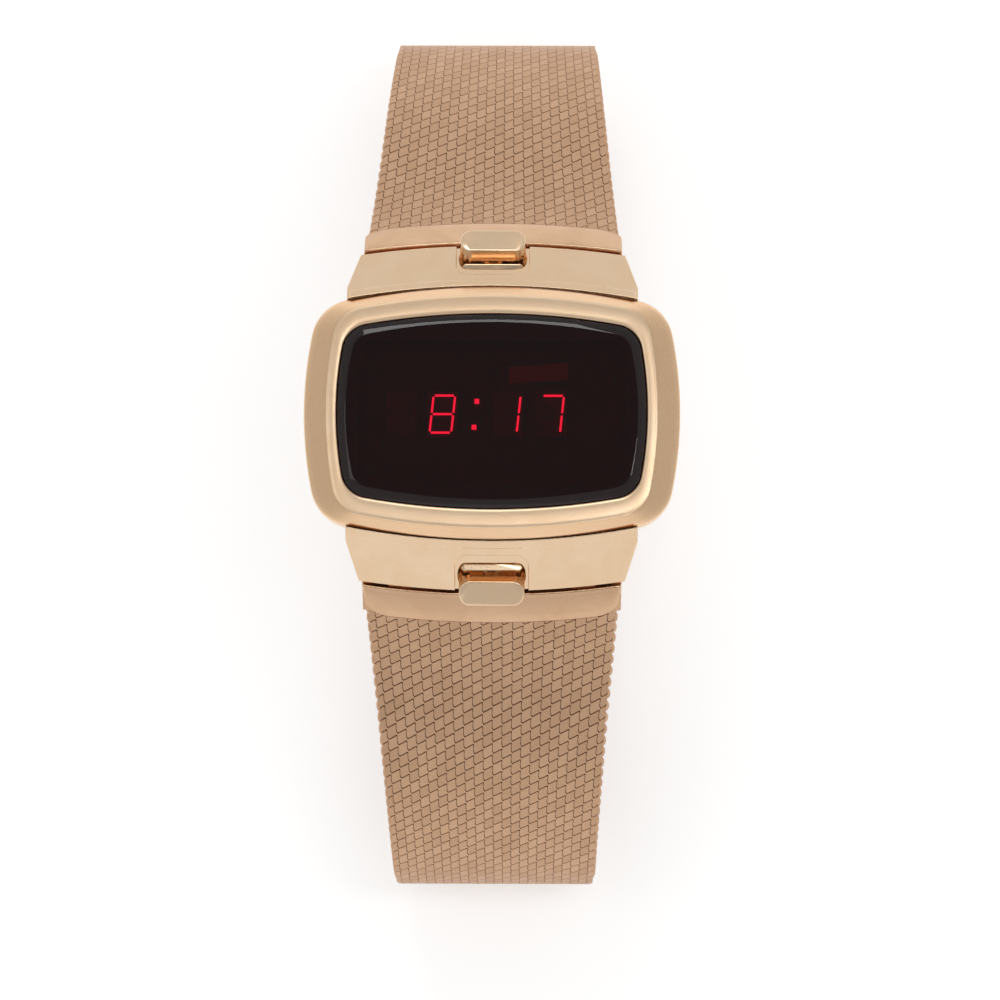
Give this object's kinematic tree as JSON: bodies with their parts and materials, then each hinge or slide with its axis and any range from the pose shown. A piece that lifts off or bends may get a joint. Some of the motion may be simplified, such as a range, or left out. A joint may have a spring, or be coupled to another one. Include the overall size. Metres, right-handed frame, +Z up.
{
  "type": "led wristwatch",
  "caption": "Gold-tone wristwatch with a red LED display, push buttons in its lug hoods and a mesh band closed by a sliding clasp.",
  "frame": {"origin": "bottom centre of the watch standing on its clasp with the band closed", "axes": "+X to 3 o'clock, +Y to 12 o'clock, +Z up and out of the display"},
  "size_m": [0.0382, 0.0902, 0.0514],
  "materials": {
    "gold_bezel": "ring polished, outer chamfer brushed, gold plated",
    "gold_case": "polished, gold plated",
    "gold_button": "polished, gold plated",
    "gold_link": "polished, gold plated",
    "gold_mesh": "flat polished wire mesh, gold plated",
    "gold_clasp": "brushed, gold plated",
    "red_crystal": "polished dark red glass with a bevelled edge",
    "black_rubber": "moulded",
    "steel_back": "circular brushed",
    "steel_small": "turned",
    "cell_can": "satin",
    "contact_brass": "stamped",
    "black_plastic": "moulded",
    "dark_ceramic": "fired, matt",
    "chip_body": "moulded",
    "digit_chip": "dark red chip under red glass",
    "unlit_bar": "unlit",
    "sensor_window": "dark red window",
    "lit_bar": "glowing red"
  },
  "bodies": {
    "case": {"bezel": "gold_bezel", "crystal": "red_crystal", "crystal_gasket": "black_rubber", "case_middle": "gold_case", "case_back": "steel_back", "battery_hatch_left": "steel_back", "battery_hatch_right": "steel_back", "battery_left": "cell_can", "battery_right": "cell_can", "battery_contacts": "contact_brass", "module_frame": "black_plastic", "timing_chip": "chip_body", "quartz_can": "steel_small", "circuit_substrate": "dark_ceramic", "digit_tiles": "digit_chip", "hour_units_lit": "lit_bar", "minute_tens_lit": "lit_bar", "minute_units_lit": "lit_bar", "unlit_segments": "unlit_bar", "colon_dots": "lit_bar", "light_sensor": "sensor_window", "upper_spring_bar": "steel_small", "upper_button_spring": "steel_small", "upper_switch_contact": "contact_brass", "lower_spring_bar": "steel_small", "lower_button_spring": "steel_small", "lower_switch_contact": "contact_brass"},
    "upper_button": {"upper_button": "gold_button"},
    "upper_link": {"upper_end_link": "gold_link", "upper_mesh_1": "gold_mesh"},
    "upper_band_2": {"upper_mesh_2": "gold_mesh"},
    "upper_band_3": {"upper_mesh_3": "gold_mesh"},
    "upper_band_4": {"upper_mesh_4": "gold_mesh"},
    "lower_button": {"lower_button": "gold_button"},
    "lower_link": {"lower_end_link": "gold_link", "lower_mesh_1": "gold_mesh"},
    "lower_band_2": {"lower_mesh_2": "gold_mesh"},
    "lower_band_3": {"lower_mesh_3": "gold_mesh"},
    "lower_band_4": {"lower_mesh_4": "gold_mesh"},
    "upper_band_5": {"upper_mesh_5": "gold_mesh", "hook_plate": "gold_clasp"},
    "clasp": {"lower_mesh_5": "gold_mesh", "mesh_tip_ferrule": "gold_clasp", "clasp_body": "gold_clasp", "clasp_hook_bar": "steel_small", "clasp_lever_pin": "steel_small"},
    "clasp_lever": {"clasp_lever": "gold_clasp"}
  },
  "joints": [
    {"name": "upper_button_push", "type": "slide", "parent": "case", "child": "upper_button", "axis": [0, -1, 0], "range_m": [0, 0.0008], "stiffness_N_per_m": 200, "deforming": ["upper_button_spring"]},
    {"name": "upper_link_swing", "type": "hinge", "parent": "case", "child": "upper_link", "pos_m": [0, 0.01654, 0.04412], "axis": [1, 0, 0], "range_deg": [0, 11]},
    {"name": "upper_mesh_flex_1", "type": "hinge", "parent": "upper_link", "child": "upper_band_2", "pos_m": [0, 0.03238, 0.02999], "axis": [1, 0, 0], "range_deg": [0, 36]},
    {"name": "upper_mesh_flex_2", "type": "hinge", "parent": "upper_band_2", "child": "upper_band_3", "pos_m": [0, 0.04079, 0.02013], "axis": [1, 0, 0], "range_deg": [0, 36]},
    {"name": "upper_mesh_flex_3", "type": "hinge", "parent": "upper_band_3", "child": "upper_band_4", "pos_m": [0, 0.0439, 0.01127], "axis": [1, 0, 0], "range_deg": [0, 36]},
    {"name": "upper_mesh_flex_4", "type": "hinge", "parent": "upper_band_4", "child": "upper_band_5", "pos_m": [0, 0.03993, 0.00385], "axis": [1, 0, 0], "range_deg": [0, 36]},
    {"name": "lower_button_push", "type": "slide", "parent": "case", "child": "lower_button", "axis": [0, 1, 0], "range_m": [0, 0.0008], "stiffness_N_per_m": 200, "deforming": ["lower_button_spring"]},
    {"name": "lower_link_swing", "type": "hinge", "parent": "case", "child": "lower_link", "pos_m": [0, -0.01654, 0.04412], "axis": [-1, 0, 0], "range_deg": [0, 11]},
    {"name": "lower_mesh_flex_1", "type": "hinge", "parent": "lower_link", "child": "lower_band_2", "pos_m": [0, -0.03238, 0.02999], "axis": [-1, 0, 0], "range_deg": [0, 36]},
    {"name": "lower_mesh_flex_2", "type": "hinge", "parent": "lower_band_2", "child": "lower_band_3", "pos_m": [0, -0.04079, 0.02013], "axis": [-1, 0, 0], "range_deg": [0, 36]},
    {"name": "lower_mesh_flex_3", "type": "hinge", "parent": "lower_band_3", "child": "lower_band_4", "pos_m": [0, -0.0439, 0.01127], "axis": [-1, 0, 0], "range_deg": [0, 36]},
    {"name": "lower_mesh_flex_4", "type": "hinge", "parent": "lower_band_4", "child": "clasp", "pos_m": [0, -0.03993, 0.00385], "axis": [-1, 0, 0], "range_deg": [0, 36]},
    {"name": "clasp_lever_lift", "type": "hinge", "parent": "clasp", "child": "clasp_lever", "pos_m": [0, -0.012, 0.001], "axis": [-1, 0, 0], "range_deg": [0, 100]}
  ]
}
